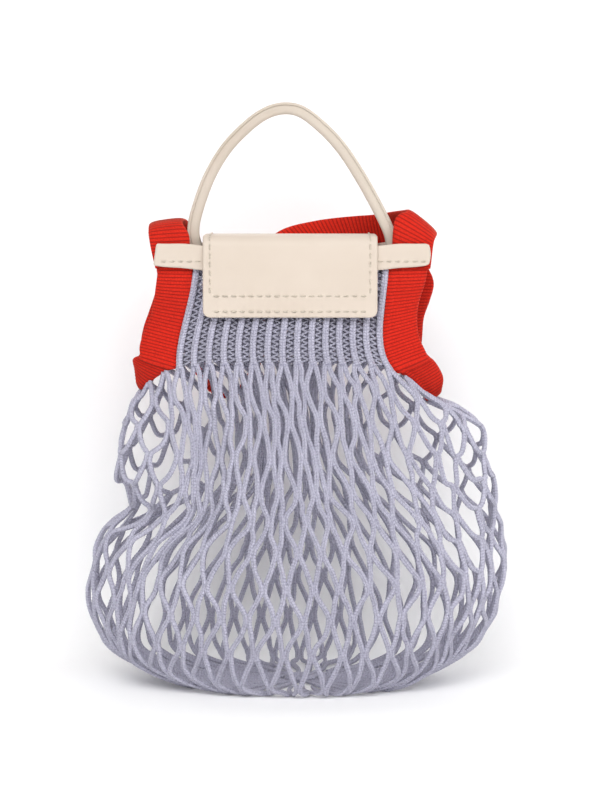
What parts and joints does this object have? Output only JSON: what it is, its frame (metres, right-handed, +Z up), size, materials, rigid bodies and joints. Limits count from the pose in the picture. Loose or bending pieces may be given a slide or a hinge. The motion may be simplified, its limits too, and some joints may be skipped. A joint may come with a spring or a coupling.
{
  "type": "knitted mesh handbag",
  "caption": "Small knitted cotton mesh handbag in lilac, with red knitted bands and shoulder strap, a cream leather flap and a cream leather handle, standing upright.",
  "frame": {"origin": "centre of the bag's box, on the surface it stands on", "axes": "+Z up towards the handle, the front with the flap faces -Y, +X to the right as the front is seen"},
  "size_m": [0.2084, 0.1146, 0.2878],
  "materials": {
    "cotton_cord": "matte heathered chain-knit cotton",
    "red_band": "matte finely ribbed knit",
    "cream_leather": "smooth satin leather",
    "handle_leather": "smooth satin leather with sealed edges"
  },
  "bodies": {
    "root": {"net": "cotton_cord", "band_left": "red_band", "band_right": "red_band", "shoulder_strap": "red_band", "mouth_strip_front": "cream_leather", "mouth_strip_back": "cream_leather", "flap": "cream_leather", "handle": "handle_leather"}
  },
  "joints": []
}
